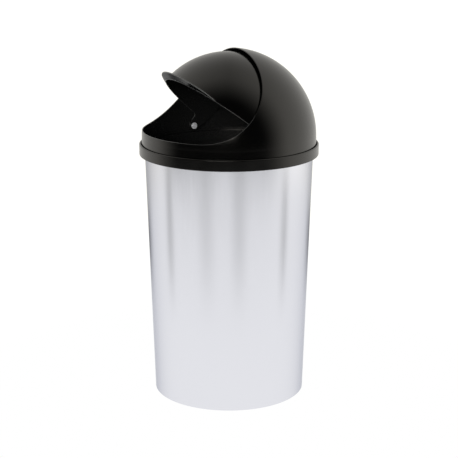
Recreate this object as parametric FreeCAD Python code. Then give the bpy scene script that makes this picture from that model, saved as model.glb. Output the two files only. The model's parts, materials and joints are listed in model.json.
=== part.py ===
import FreeCAD, Part
import math
import os
from FreeCAD import Vector

# A round dome-lid bin. Millimetres, +Z up, front towards -Y, origin on the floor at the drum's axis.
# The visor is drawn shut and then turned up to the angle at which it stands.

# Drum: a tapered sheet-steel wall with a rolled bead on top and a hem turned in below
SHEET = 0.6
DRUM_BASE_RADIUS = 153.3
DRUM_TOP_RADIUS = 169.0
DRUM_HEIGHT = 502.9
BEAD_RADIUS = 2.8
HEM_WIDTH = 8.0
SEAM_LAP = 12.0

# Base pan: pressed floor that stands on the hem by its turned-down flange
PAN_HEIGHT = 12.0
PAN_CLEARANCE = 0.1
PAN_RIB_RADIUS = 100.0
PAN_RIB_WIDTH = 12.0
PAN_RIB_RISE = 2.5
PAN_RIB_SLOPE_WIDTH = 3.0

# Rubber feet pushed up through the pan
FOOT_INSET = 24.5
FOOT_PROUD = 1.0
FOOT_RADIUS = 11.0
FOOT_CHAMFER = 1.5
FOOT_STEM_RADIUS = 4.0
FOOT_STEM_CLEARANCE = 0.05
FOOT_BARB_REACH = 1.6
FOOT_BARB_HEIGHT = 3.4
FOOT_TIP_RADIUS = 3.0

# Collar: caps the bead, with a groove on top for the hood's skirt and ribs that centre it on the bead
COLLAR_SKIRT_DEPTH = 10.2
COLLAR_SKIRT_WALL = 2.2
COLLAR_WEB = 2.8
COLLAR_RIM_HEIGHT = 9.0
COLLAR_RIM_WALL = 3.0
COLLAR_RIM_ROUND = 2.0
COLLAR_LOWER_ROUND = 1.4
COLLAR_SMALL_ROUND = 0.6
COLLAR_SEAT_CLEARANCE = 0.3
COLLAR_RIBS = 12
COLLAR_RIB_LENGTH = 3.35
COLLAR_RIB_THICKNESS = 2.0
COLLAR_RIB_CLEARANCE = 0.45
COLLAR_RIB_RISE = 2.0
LOCATING_WALL = 2.2
LOCATING_CLEARANCE = 0.6
LOCATING_BOSS_GAP = 0.7
LEDGE_WIDTH = 3.6

# Bag hoop: hangs by its flange in the collar's throat, with a skirt that tapers as the drum does
HOOP_WALL = 2.0
HOOP_FLANGE = 2.4
HOOP_DEPTH = 45.0
HOOP_BAG_GAP = 1.8
HOOP_CLEARANCE = 0.6
HOOP_EDGE_ROUND = 0.5

# Hood: a hemisphere on a short flared skirt, open at the front
HOOD_WALL = 2.0
HOOD_RIM_GAP = 1.4
HOOD_SKIRT_FLARE = 1.0
MOUTH_LIP_RISE = 13.0
MOUTH_CROWN_BACK = 21.07
MOUTH_LOWER_ARC = 129.0
MOUTH_LOWER_TURN = 39.8
MOUTH_UPPER_ARC = 194.5
STOP_WIDTH = 30.0
STOP_HEIGHT = 16.0
STOP_REACH = 2.0
STOP_CLEARANCE = 0.6

# Visor: a smaller dome that shares the hood's centre at the angle where it stands
VISOR_WALL = 2.2
VISOR_STANDS_OPEN = 39.6
VISOR_OPENS_TO = 70.0
VISOR_RUNNING_CLEARANCE = 0.95
VISOR_SHUT_GAP = 1.0
VISOR_REAR_OVERLAP = 4.8
VISOR_REAR_LEAN = 3.4
EAR_RADIUS = 11.5
EAR_FILLET = 7.0
EAR_HOOP_GAP = 1.2

# Pull lip: a crescent on the visor's front edge that turns up outside a gentle bend
LIP_THICKNESS = 2.2
LIP_REACH = 22.5
LIP_OUTER_ARC = 133.0
LIP_BEND_REACH = 8.0
LIP_BEND_ARC = 141.7
LIP_BEND_ROUND = 9.0
LIP_TURN_UP = 14.8

# Pivots: one on each side, driven from inside into a blind boss in the hood
PIVOT_DROP = 8.0
BOSS_RADIUS = 8.0
BOSS_SKIN = 1.0
FRICTION_WASHER = 1.0
FRICTION_WASHER_RADIUS = 8.0
EAR_PAD_RADIUS = 9.0
EAR_PAD_LENGTH = 3.8
EAR_PAD_PROUD = 0.15
EAR_END_PLAY = 0.05
BUSH_RADIUS = 4.0
BUSH_RUNNING_CLEARANCE = 0.08
SCREW_RADIUS = 2.0
SCREW_CLEARANCE = 0.1
SCREW_THREAD_CLEARANCE = 0.02
SCREW_TIP_CLEARANCE = 0.6
SCREW_HEAD_RADIUS = 4.6
SCREW_HEAD_HEIGHT = 3.0
SCREW_HEAD_EDGE = 1.2
RECESS_LENGTH = 5.4
RECESS_WIDTH = 1.1
RECESS_DEPTH = 1.6
PIVOT_WASHER = 1.0
PIVOT_WASHER_RADIUS = 6.6
SPRING_SHEET = 0.5
SPRING_CONE_RISE = 0.6
SPRING_RADIUS = 6.4
SPRING_BUSH_CLEARANCE = 0.15

# Heights worked out from the driving dimensions, from the floor up
DRUM_FOOT_Z = FOOT_PROUD
HEM_TOP_Z = DRUM_FOOT_Z + SHEET
PAN_FLOOR_Z = DRUM_FOOT_Z + PAN_HEIGHT
DRUM_TOP_Z = DRUM_FOOT_Z + DRUM_HEIGHT
BEAD_CENTRE_Z = DRUM_TOP_Z - BEAD_RADIUS
COLLAR_WEB_UNDER_Z = DRUM_TOP_Z + COLLAR_SEAT_CLEARANCE
COLLAR_SKIRT_Z = COLLAR_WEB_UNDER_Z - COLLAR_SKIRT_DEPTH
COLLAR_FLOOR_Z = COLLAR_WEB_UNDER_Z + COLLAR_WEB
COLLAR_TOP_Z = COLLAR_FLOOR_Z + COLLAR_RIM_HEIGHT
HOOP_TOP_Z = COLLAR_FLOOR_Z + HOOP_FLANGE
PIVOT_Z = HOOP_TOP_Z + EAR_HOOP_GAP + EAR_RADIUS
LOCATING_TOP_Z = PIVOT_Z - BOSS_RADIUS - LOCATING_BOSS_GAP
HOOD_CENTRE_Z = PIVOT_Z + PIVOT_DROP
MOUTH_LIP_Z = HOOD_CENTRE_Z + MOUTH_LIP_RISE
SHUT_EDGE_Z = MOUTH_LIP_Z + VISOR_SHUT_GAP

# Radii worked out from the drum's top outwards, then back in through collar, hood and visor
BEAD_CENTRE_RADIUS = DRUM_TOP_RADIUS - SHEET + BEAD_RADIUS
COLLAR_RIB_RADIUS = BEAD_CENTRE_RADIUS + BEAD_RADIUS + COLLAR_RIB_CLEARANCE
COLLAR_SKIRT_INNER = COLLAR_RIB_RADIUS + COLLAR_RIB_LENGTH
COLLAR_RADIUS = COLLAR_SKIRT_INNER + COLLAR_SKIRT_WALL
COLLAR_RIM_INNER = COLLAR_RADIUS - COLLAR_RIM_WALL
HOOD_SKIRT_RADIUS = COLLAR_RIM_INNER - HOOD_RIM_GAP
HOOD_RADIUS = HOOD_SKIRT_RADIUS - HOOD_SKIRT_FLARE
HOOD_INNER_RADIUS = HOOD_RADIUS - HOOD_WALL
LOCATING_OUTER = HOOD_SKIRT_RADIUS - HOOD_WALL - LOCATING_CLEARANCE
LOCATING_INNER = LOCATING_OUTER - LOCATING_WALL
LEDGE_INNER = LOCATING_INNER - LEDGE_WIDTH
VISOR_SWING = PIVOT_DROP * math.sin(math.radians(VISOR_OPENS_TO - VISOR_STANDS_OPEN))
VISOR_RADIUS = HOOD_INNER_RADIUS - VISOR_SWING - VISOR_RUNNING_CLEARANCE
VISOR_INNER_RADIUS = VISOR_RADIUS - VISOR_WALL
PAN_RADIUS = DRUM_BASE_RADIUS - SHEET - PAN_CLEARANCE
FOOT_CIRCLE_RADIUS = PAN_RADIUS - FOOT_INSET

# Distances from the plane of symmetry along the pivot, from the ear outwards and inwards
EAR_OUTER_X = VISOR_RADIUS + EAR_PAD_PROUD
EAR_INNER_X = EAR_OUTER_X - EAR_PAD_LENGTH
FRICTION_WASHER_X = EAR_OUTER_X + EAR_END_PLAY
BOSS_FACE_X = FRICTION_WASHER_X + FRICTION_WASHER
BOSS_HOLE_END_X = HOOD_RADIUS - BOSS_SKIN
SPRING_X = EAR_INNER_X - EAR_END_PLAY
BUSH_INNER_X = SPRING_X - SPRING_SHEET - SPRING_CONE_RISE
HEAD_SEAT_X = BUSH_INNER_X - PIVOT_WASHER

HOOD_CENTRE = Vector(0, 0, HOOD_CENTRE_Z)
PIVOT = Vector(0, 0, PIVOT_Z)
UP = Vector(0, 0, 1)
AXIS_FOOT = Vector(0, 0, 0)
OPENING_AXIS = Vector(-1, 0, 0)
BEYOND = 400.0
THROUGH = 1.0
TOLERANCE = 1e-4
SIDES = {"left": -1, "right": 1}
CORNERS = {"front_left": 225, "front_right": 315, "rear_left": 135, "rear_right": 45}


def radial(point):
    return Vector(point[0], 0, point[1])


def side_view(point):
    return Vector(0, point[0], point[1])


def flat_face(place, start, *steps):
    """A face bounded by lines and arcs. A step is an end point, or a point on the way and an end point."""
    edges = []
    here = start
    for step in list(steps) + [(start,)]:
        if len(step) == 1:
            edges.append(Part.LineSegment(place(here), place(step[0])).toShape())
        else:
            edges.append(Part.Arc(place(here), place(step[0]), place(step[1])).toShape())
        here = step[-1]
    return Part.Face(Part.Wire(edges))


def lines_face(place, points):
    return flat_face(place, points[0], *[(point,) for point in points[1:]])


def turned(face, foot=AXIS_FOOT):
    return face.revolve(foot, UP, 360)


def widened(face, half_width):
    """A side-view face made solid, half_width to each side of the plane of symmetry."""
    moved = face.translated(Vector(-half_width, 0, 0))
    return moved.extrude(Vector(2 * half_width, 0, 0))


def on_circle(centre, radius, degrees):
    angle = math.radians(degrees)
    return (centre[0] + radius * math.cos(angle), centre[1] + radius * math.sin(angle))


def pivot_rod(side, radius, from_x, to_x):
    """A cylinder on the pivot axis between two distances from the plane of symmetry."""
    start = Vector(side * from_x, 0, PIVOT_Z)
    return Part.makeCylinder(radius, to_x - from_x, start, Vector(side, 0, 0))


def rounded(solid, radius, heights_and_radii):
    """Rounds the full circles of a turned solid that lie at the given heights and radii."""
    chosen = []
    for edge in solid.Edges:
        if not isinstance(edge.Curve, Part.Circle):
            continue
        for height, circle_radius in heights_and_radii:
            same_height = abs(edge.Curve.Center.z - height) < TOLERANCE
            if same_height and abs(edge.Curve.Radius - circle_radius) < TOLERANCE:
                chosen.append(edge)
    return solid.makeFillet(radius, chosen)


def closed_solid(shape):
    """The one solid of a boolean result, with its split faces joined again."""
    return shape.removeSplitter().Solids[0]


def drum_radius_at(height):
    share = (height - DRUM_FOOT_Z) / (BEAD_CENTRE_Z - DRUM_FOOT_Z)
    return DRUM_BASE_RADIUS + share * (DRUM_TOP_RADIUS - DRUM_BASE_RADIUS)


def body_shell():
    hem_inner = DRUM_BASE_RADIUS - HEM_WIDTH
    centre = (BEAD_CENTRE_RADIUS, BEAD_CENTRE_Z)
    curl_inside = BEAD_RADIUS - SHEET
    curl_middle = 45
    curl_end = -90
    section = flat_face(
        radial,
        (hem_inner, DRUM_FOOT_Z),
        ((DRUM_BASE_RADIUS, DRUM_FOOT_Z),),
        ((DRUM_TOP_RADIUS, BEAD_CENTRE_Z),),
        (on_circle(centre, curl_inside, curl_middle), on_circle(centre, curl_inside, curl_end)),
        (on_circle(centre, BEAD_RADIUS, curl_end),),
        (on_circle(centre, BEAD_RADIUS, curl_middle), (DRUM_TOP_RADIUS - SHEET, BEAD_CENTRE_Z)),
        ((drum_radius_at(HEM_TOP_Z) - SHEET, HEM_TOP_Z),),
        ((hem_inner, HEM_TOP_Z),),
    )
    return closed_solid(turned(section).fuse(seam_strip()))


def seam_strip():
    """The inner layer of the drum's lap seam, up the middle of the back."""
    low = PAN_FLOOR_Z + 2 * SHEET
    low_radius = drum_radius_at(low) - SHEET
    high_radius = DRUM_TOP_RADIUS - SHEET
    band = lines_face(
        radial,
        [
            (low_radius - SHEET, low),
            (low_radius + SHEET / 2, low),
            (high_radius + SHEET / 2, BEAD_CENTRE_Z),
            (high_radius - SHEET, BEAD_CENTRE_Z),
        ],
    )
    lap_angle = math.degrees(SEAM_LAP / high_radius)
    strip = band.revolve(AXIS_FOOT, UP, lap_angle)
    strip.rotate(AXIS_FOOT, UP, 90 - lap_angle / 2)
    return strip


def base_pan():
    half_rib = PAN_RIB_WIDTH / 2
    half_top = half_rib - PAN_RIB_SLOPE_WIDTH
    rib_top = PAN_FLOOR_Z + PAN_RIB_RISE
    flange_inner = PAN_RADIUS - SHEET
    underside = [
        (0, PAN_FLOOR_Z),
        (PAN_RIB_RADIUS - half_rib, PAN_FLOOR_Z),
        (PAN_RIB_RADIUS - half_top, rib_top),
        (PAN_RIB_RADIUS + half_top, rib_top),
        (PAN_RIB_RADIUS + half_rib, PAN_FLOOR_Z),
    ]
    upper_side = [(radius, height + SHEET) for radius, height in reversed(underside)]
    flange = [
        (flange_inner, PAN_FLOOR_Z),
        (flange_inner, HEM_TOP_Z),
        (PAN_RADIUS, HEM_TOP_Z),
        (PAN_RADIUS, PAN_FLOOR_Z + SHEET),
    ]
    pan = turned(lines_face(radial, underside + flange + upper_side))
    for degrees in CORNERS.values():
        x, y = on_circle((0, 0), FOOT_CIRCLE_RADIUS, degrees)
        hole_radius = FOOT_STEM_RADIUS + FOOT_STEM_CLEARANCE
        pan = pan.cut(Part.makeCylinder(hole_radius, BEYOND, Vector(x, y, 0)))
    return closed_solid(pan)


def foot(degrees):
    catch = PAN_FLOOR_Z + SHEET
    section = lines_face(
        radial,
        [
            (0, 0),
            (FOOT_RADIUS - FOOT_CHAMFER, 0),
            (FOOT_RADIUS, FOOT_CHAMFER),
            (FOOT_RADIUS, PAN_FLOOR_Z),
            (FOOT_STEM_RADIUS, PAN_FLOOR_Z),
            (FOOT_STEM_RADIUS, catch),
            (FOOT_STEM_RADIUS + FOOT_BARB_REACH, catch),
            (FOOT_TIP_RADIUS, catch + FOOT_BARB_HEIGHT),
            (0, catch + FOOT_BARB_HEIGHT),
        ],
    )
    x, y = on_circle((0, 0), FOOT_CIRCLE_RADIUS, degrees)
    return turned(section).translated(Vector(x, y, 0))


def collar():
    ring = turned(
        lines_face(
            radial,
            [
                (COLLAR_SKIRT_INNER, COLLAR_SKIRT_Z),
                (COLLAR_RADIUS, COLLAR_SKIRT_Z),
                (COLLAR_RADIUS, COLLAR_TOP_Z),
                (COLLAR_RIM_INNER, COLLAR_TOP_Z),
                (COLLAR_RIM_INNER, COLLAR_FLOOR_Z),
                (LOCATING_OUTER, COLLAR_FLOOR_Z),
                (LOCATING_OUTER, LOCATING_TOP_Z),
                (LOCATING_INNER, LOCATING_TOP_Z),
                (LOCATING_INNER, COLLAR_FLOOR_Z),
                (LEDGE_INNER, COLLAR_FLOOR_Z),
                (LEDGE_INNER, COLLAR_WEB_UNDER_Z),
                (COLLAR_SKIRT_INNER, COLLAR_WEB_UNDER_Z),
            ],
        )
    )
    ring = rounded(ring, COLLAR_RIM_ROUND, [(COLLAR_TOP_Z, COLLAR_RADIUS)])
    ring = rounded(ring, COLLAR_LOWER_ROUND, [(COLLAR_SKIRT_Z, COLLAR_RADIUS)])
    small_edges = [
        (COLLAR_TOP_Z, COLLAR_RIM_INNER),
        (LOCATING_TOP_Z, LOCATING_OUTER),
        (LOCATING_TOP_Z, LOCATING_INNER),
    ]
    ring = rounded(ring, COLLAR_SMALL_ROUND, small_edges)
    return closed_solid(ring.fuse(centring_ribs()))


def centring_ribs():
    """Ribs inside the collar's skirt that stop just short of the bead."""
    low = COLLAR_SKIRT_Z + COLLAR_RIB_RISE
    into_web = COLLAR_WEB / 2
    into_skirt = COLLAR_SKIRT_WALL / 2
    section = lines_face(
        radial,
        [
            (COLLAR_SKIRT_INNER, low),
            (COLLAR_SKIRT_INNER + into_skirt, low),
            (COLLAR_SKIRT_INNER + into_skirt, COLLAR_WEB_UNDER_Z + into_web),
            (COLLAR_RIB_RADIUS, COLLAR_WEB_UNDER_Z + into_web),
            (COLLAR_RIB_RADIUS, low + COLLAR_RIB_LENGTH),
        ],
    )
    rib_angle = math.degrees(COLLAR_RIB_THICKNESS / COLLAR_RIB_RADIUS)
    ribs = []
    for number in range(COLLAR_RIBS):
        rib = section.revolve(AXIS_FOOT, UP, rib_angle)
        rib.rotate(AXIS_FOOT, UP, (number + 0.5) * 360 / COLLAR_RIBS - rib_angle / 2)
        ribs.append(rib)
    return ribs


def bag_hoop():
    outer = LEDGE_INNER - HOOP_BAG_GAP
    inner = outer - HOOP_WALL
    flange_outer = LOCATING_INNER - HOOP_CLEARANCE
    low = COLLAR_FLOOR_Z - HOOP_DEPTH
    narrowing = drum_radius_at(COLLAR_FLOOR_Z) - drum_radius_at(low)
    low_inner = inner - narrowing
    low_outer = outer - narrowing
    ring = turned(
        lines_face(
            radial,
            [
                (low_inner, low),
                (low_outer, low),
                (outer, COLLAR_FLOOR_Z),
                (flange_outer, COLLAR_FLOOR_Z),
                (flange_outer, HOOP_TOP_Z),
                (inner, HOOP_TOP_Z),
            ],
        )
    )
    free_edges = [(low, low_inner), (low, low_outer), (HOOP_TOP_Z, inner), (HOOP_TOP_Z, flange_outer)]
    return rounded(ring, HOOP_EDGE_ROUND, free_edges)


def dome(inset):
    """A solid hemisphere on the flared skirt, inset from the hood's outer face."""
    radius = HOOD_RADIUS - inset
    section = flat_face(
        radial,
        (0, COLLAR_FLOOR_Z),
        ((HOOD_SKIRT_RADIUS - inset, COLLAR_FLOOR_Z),),
        ((radius, HOOD_CENTRE_Z),),
        (on_circle((0, HOOD_CENTRE_Z), radius, 45), (0, HOOD_CENTRE_Z + radius)),
    )
    return turned(section)


def ball(radius):
    """A solid sphere about the hood's centre, with its poles at the pivots and its seam underneath."""
    left = HOOD_CENTRE - Vector(radius, 0, 0)
    right = HOOD_CENTRE + Vector(radius, 0, 0)
    arc = Part.Arc(left, HOOD_CENTRE - Vector(0, 0, radius), right).toShape()
    half_disc = Part.Face(Part.Wire([arc, Part.LineSegment(right, left).toShape()]))
    return half_disc.revolve(HOOD_CENTRE, Vector(1, 0, 0), 360)


def mouth_arcs():
    """The mouth's edge from the side: its lower arc's centre, where its two arcs meet, its upper arc's centre."""
    forward = math.sin(math.radians(MOUTH_LOWER_TURN)) * (MOUTH_LOWER_ARC - MOUTH_UPPER_ARC)
    lower_centre = (MOUTH_CROWN_BACK - MOUTH_UPPER_ARC - forward, MOUTH_LIP_Z + MOUTH_LOWER_ARC)
    meeting = on_circle(lower_centre, MOUTH_LOWER_ARC, MOUTH_LOWER_TURN - 90)
    upper_centre = on_circle(meeting, MOUTH_UPPER_ARC, MOUTH_LOWER_TURN + 90)
    return lower_centre, meeting, upper_centre


def mouth_cutter():
    """The space in front of the mouth's edge: level over the front lip, then two arcs up to the crown."""
    lower_centre, meeting, upper_centre = mouth_arcs()
    lower_middle = on_circle(lower_centre, MOUTH_LOWER_ARC, MOUTH_LOWER_TURN / 2 - 90)
    upper_middle = on_circle(upper_centre, MOUTH_UPPER_ARC, MOUTH_LOWER_TURN / 2 - 45)
    outline = flat_face(
        side_view,
        (-BEYOND, MOUTH_LIP_Z),
        ((lower_centre[0], MOUTH_LIP_Z),),
        (lower_middle, meeting),
        (upper_middle, (MOUTH_CROWN_BACK, upper_centre[1])),
        ((MOUTH_CROWN_BACK, HOOD_CENTRE_Z + BEYOND),),
        ((-BEYOND, HOOD_CENTRE_Z + BEYOND),),
    )
    return widened(outline, BEYOND)


def rear_edge_back(height):
    """How far behind the pivot the shut visor's rear edge is, at a height above the pivot."""
    lean = math.tan(math.radians(VISOR_REAR_LEAN))
    return MOUTH_CROWN_BACK + VISOR_REAR_OVERLAP + (height - VISOR_RADIUS) * lean


def open_rear_edge(radius, half_width):
    """The fully open visor's rear edge from the side, at a radius and a distance from the middle plane."""
    turn = math.radians(VISOR_OPENS_TO + VISOR_REAR_LEAN)
    past_standing = math.radians(VISOR_OPENS_TO - VISOR_STANDS_OPEN)
    ball_centre = (PIVOT_DROP * math.sin(past_standing), PIVOT_DROP * math.cos(past_standing))
    along = (math.sin(turn), math.cos(turn))
    outward = (math.cos(turn), -math.sin(turn))
    edge_offset = rear_edge_back(0) * math.cos(math.radians(VISOR_REAR_LEAN))
    centre_along = ball_centre[0] * along[0] + ball_centre[1] * along[1]
    centre_out = ball_centre[0] * outward[0] + ball_centre[1] * outward[1]
    reach = centre_along + math.sqrt(radius**2 - half_width**2 - (edge_offset - centre_out) ** 2)
    y = reach * along[0] + edge_offset * outward[0]
    z = reach * along[1] + edge_offset * outward[1]
    return y, PIVOT_Z + z


def stop_rib():
    """A block inside the back of the hood, just under the visor's rear edge when it is fully open."""
    edge_y, edge_z = open_rear_edge(VISOR_INNER_RADIUS, STOP_WIDTH / 2)
    corner = Vector(-STOP_WIDTH / 2, edge_y - STOP_REACH, edge_z - STOP_CLEARANCE - STOP_HEIGHT)
    block = Part.makeBox(STOP_WIDTH, BEYOND, STOP_HEIGHT, corner)
    return block.common(dome(HOOD_WALL / 2))


def hood():
    shell = dome(0).cut(dome(HOOD_WALL)).cut(mouth_cutter()).fuse(stop_rib())
    for side in SIDES.values():
        shell = shell.fuse(pivot_rod(side, BOSS_RADIUS, BOSS_FACE_X, HOOD_RADIUS - HOOD_WALL / 2))
        hole_radius = SCREW_RADIUS + SCREW_THREAD_CLEARANCE
        shell = shell.cut(pivot_rod(side, hole_radius, BOSS_FACE_X, BOSS_HOLE_END_X))
    return closed_solid(shell)


def visor_side_outline():
    """The shut visor from the side: front edge, ear round the pivot, rear edge."""
    fillet_centre = (-EAR_RADIUS - EAR_FILLET, SHUT_EDGE_Z - EAR_FILLET)
    top_z = PIVOT_Z + BEYOND
    return flat_face(
        side_view,
        (-BEYOND, SHUT_EDGE_Z),
        ((fillet_centre[0], SHUT_EDGE_Z),),
        (on_circle(fillet_centre, EAR_FILLET, 45), (-EAR_RADIUS, fillet_centre[1])),
        ((-EAR_RADIUS, PIVOT_Z),),
        ((0, PIVOT_Z - EAR_RADIUS), (EAR_RADIUS, PIVOT_Z)),
        ((rear_edge_back(SHUT_EDGE_Z - PIVOT_Z), SHUT_EDGE_Z),),
        ((rear_edge_back(BEYOND), top_z),),
        ((-BEYOND, top_z),),
    )


def lip_sheet():
    """The pull lip before it is cut to a crescent: a flat disc on the shut edge that turns up past a bend."""
    turn = math.radians(LIP_TURN_UP)
    bend_start = LIP_BEND_ARC - LIP_BEND_ROUND * math.tan(turn / 2)
    bend_centre = (bend_start, SHUT_EDGE_Z + LIP_BEND_ROUND)
    inner_round = LIP_BEND_ROUND - LIP_THICKNESS
    upper_z = SHUT_EDGE_Z + LIP_THICKNESS
    low_end = on_circle(bend_centre, LIP_BEND_ROUND, LIP_TURN_UP - 90)
    high_end = on_circle(bend_centre, inner_round, LIP_TURN_UP - 90)
    section = flat_face(
        radial,
        (0, SHUT_EDGE_Z),
        ((bend_start, SHUT_EDGE_Z),),
        (on_circle(bend_centre, LIP_BEND_ROUND, LIP_TURN_UP / 2 - 90), low_end),
        (on_circle(low_end, LIP_OUTER_ARC, LIP_TURN_UP),),
        (on_circle(high_end, LIP_OUTER_ARC, LIP_TURN_UP),),
        (high_end,),
        (on_circle(bend_centre, inner_round, LIP_TURN_UP / 2 - 90), (bend_start, upper_z)),
        ((0, upper_z),),
    )
    bend_axis_back = VISOR_RADIUS + LIP_BEND_REACH - LIP_BEND_ARC
    return turned(section).translated(Vector(0, -bend_axis_back, 0))


def pull_lip():
    outer_axis_back = VISOR_RADIUS + LIP_REACH - LIP_OUTER_ARC
    crescent = Part.makeCylinder(LIP_OUTER_ARC, BEYOND, Vector(0, -outer_axis_back, PIVOT_Z))
    return lip_sheet().common(crescent)


def visor():
    shell = ball(VISOR_RADIUS).cut(ball(VISOR_INNER_RADIUS))
    side = widened(visor_side_outline(), BEYOND)
    side.rotate(PIVOT, OPENING_AXIS, VISOR_STANDS_OPEN)
    lip = pull_lip()
    lip.rotate(PIVOT, OPENING_AXIS, VISOR_STANDS_OPEN)
    lip = lip.cut(ball(VISOR_RADIUS - VISOR_WALL / 2))
    flap = shell.common(side).fuse(lip)
    for sign in SIDES.values():
        flap = flap.fuse(pivot_rod(sign, EAR_PAD_RADIUS, EAR_INNER_X, EAR_OUTER_X))
        bore = BUSH_RADIUS + BUSH_RUNNING_CLEARANCE
        flap = flap.cut(pivot_rod(sign, bore, EAR_INNER_X - THROUGH, EAR_OUTER_X + THROUGH))
    return closed_solid(flap)


def pivot_tube(side, outer, inner, from_x, to_x):
    bore = pivot_rod(side, inner, from_x - THROUGH, to_x + THROUGH)
    return pivot_rod(side, outer, from_x, to_x).cut(bore)


def friction_washer(side):
    bore = BUSH_RADIUS + BUSH_RUNNING_CLEARANCE
    return pivot_tube(side, FRICTION_WASHER_RADIUS, bore, FRICTION_WASHER_X, BOSS_FACE_X)


def pivot_bush(side):
    return pivot_tube(side, BUSH_RADIUS, SCREW_RADIUS + SCREW_CLEARANCE, BUSH_INNER_X, BOSS_FACE_X)


def pivot_spring(side):
    """A cone-shaped spring washer that presses the ear against the friction washer."""
    inner = BUSH_RADIUS + SPRING_BUSH_CLEARANCE
    section = [
        (inner, BUSH_INNER_X),
        (SPRING_RADIUS, BUSH_INNER_X + SPRING_CONE_RISE),
        (SPRING_RADIUS, SPRING_X),
        (inner, BUSH_INNER_X + SPRING_SHEET),
    ]
    face = lines_face(lambda point: Vector(side * point[1], point[0], PIVOT_Z), section)
    return face.revolve(PIVOT, OPENING_AXIS, 360)


def pivot_washer(side):
    return pivot_tube(side, PIVOT_WASHER_RADIUS, SCREW_RADIUS + SCREW_CLEARANCE, HEAD_SEAT_X, BUSH_INNER_X)


def pivot_screw(side):
    """A pan-head screw whose head faces the plane of symmetry, with a cross recess."""
    head_top_x = HEAD_SEAT_X - SCREW_HEAD_HEIGHT
    head = pivot_rod(side, SCREW_HEAD_RADIUS, head_top_x, HEAD_SEAT_X)
    rim = [edge for edge in head.Edges if abs(abs(edge.CenterOfMass.x) - head_top_x) < TOLERANCE]
    head = head.makeFillet(SCREW_HEAD_EDGE, rim)
    tip_x = BOSS_HOLE_END_X - SCREW_TIP_CLEARANCE
    screw = head.fuse(pivot_rod(side, SCREW_RADIUS, HEAD_SEAT_X, tip_x))
    centre = Vector(side * head_top_x, 0, PIVOT_Z)
    for length, height in [(RECESS_LENGTH, RECESS_WIDTH), (RECESS_WIDTH, RECESS_LENGTH)]:
        slot = Part.makeBox(2 * RECESS_DEPTH, length, height)
        slot.translate(centre - Vector(RECESS_DEPTH, length / 2, height / 2))
        screw = screw.cut(slot)
    return closed_solid(screw)


def all_pieces():
    pieces = {
        "body_shell": body_shell(),
        "base_pan": base_pan(),
        "collar": collar(),
        "bag_hoop": bag_hoop(),
        "hood": hood(),
        "visor": visor(),
    }
    for corner, degrees in CORNERS.items():
        pieces["foot_" + corner] = foot(degrees)
    for name, side in SIDES.items():
        pieces["pivot_screw_" + name] = pivot_screw(side)
        pieces["pivot_washer_" + name] = pivot_washer(side)
        pieces["pivot_spring_" + name] = pivot_spring(side)
        pieces["pivot_bush_" + name] = pivot_bush(side)
        pieces["friction_washer_" + name] = friction_washer(side)
    return pieces


os.makedirs("parts", exist_ok=True)
for node, piece in all_pieces().items():
    piece.exportStep("parts/" + node + ".step")
    print(node, "valid", piece.isValid(), "solids", len(piece.Solids), "cm3", round(piece.Volume / 1000, 2))
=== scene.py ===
import json
import math

import bmesh
import bpy
from mathutils import Matrix, Vector

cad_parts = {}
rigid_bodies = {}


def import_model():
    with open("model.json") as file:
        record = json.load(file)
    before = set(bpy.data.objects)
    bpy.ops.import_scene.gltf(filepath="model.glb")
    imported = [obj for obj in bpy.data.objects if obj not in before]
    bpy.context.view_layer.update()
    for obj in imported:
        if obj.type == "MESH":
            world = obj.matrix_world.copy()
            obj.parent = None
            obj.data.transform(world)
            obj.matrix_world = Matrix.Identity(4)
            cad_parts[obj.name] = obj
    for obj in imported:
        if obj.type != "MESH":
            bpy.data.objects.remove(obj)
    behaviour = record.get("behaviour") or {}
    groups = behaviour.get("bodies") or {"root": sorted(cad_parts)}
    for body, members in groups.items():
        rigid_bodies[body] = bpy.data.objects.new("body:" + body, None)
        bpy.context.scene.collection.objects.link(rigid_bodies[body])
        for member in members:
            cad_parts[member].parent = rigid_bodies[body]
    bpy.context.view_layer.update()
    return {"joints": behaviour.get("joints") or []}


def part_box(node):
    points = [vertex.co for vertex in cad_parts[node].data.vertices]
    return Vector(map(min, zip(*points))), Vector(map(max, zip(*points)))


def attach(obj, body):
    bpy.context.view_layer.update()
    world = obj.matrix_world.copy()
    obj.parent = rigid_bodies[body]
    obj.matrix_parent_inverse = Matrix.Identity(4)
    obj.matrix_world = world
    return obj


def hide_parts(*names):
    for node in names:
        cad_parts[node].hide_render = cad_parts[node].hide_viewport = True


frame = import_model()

# Metres, +Z up, front towards -Y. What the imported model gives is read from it, and the rest is named here.
MM = 0.001
UP = Vector((0, 0, 1))
SIDEWAYS = Vector((1, 0, 0))
BACKWARD = Vector((0, 1, 0))
ORIGIN = Vector((0, 0, 0))
FULL_TURN = math.radians(360)
HALF_TURN = math.radians(180)
QUARTER_TURN = math.radians(90)
SIDES = {"left": -1, "right": 1}
CORNERS = ["front_left", "front_right", "rear_left", "rear_right"]

# Drum
SHEET = 0.6 * MM
SHEET_EDGE = 0.2 * MM
DRUM_BASE_RADIUS = 153.3 * MM
DRUM_TOP_RADIUS = 169.0 * MM
BEAD_RADIUS = 2.8 * MM
HEM_WIDTH = 8.0 * MM
SEAM_LAP = 12.0 * MM
SEAM_SINK = SHEET / 2
DRUM_FOOT_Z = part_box("body_shell")[0].z
DRUM_TOP_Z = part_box("body_shell")[1].z
BEAD_CENTRE_RADIUS = DRUM_TOP_RADIUS - SHEET + BEAD_RADIUS
BEAD_CENTRE_Z = DRUM_TOP_Z - BEAD_RADIUS

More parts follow.
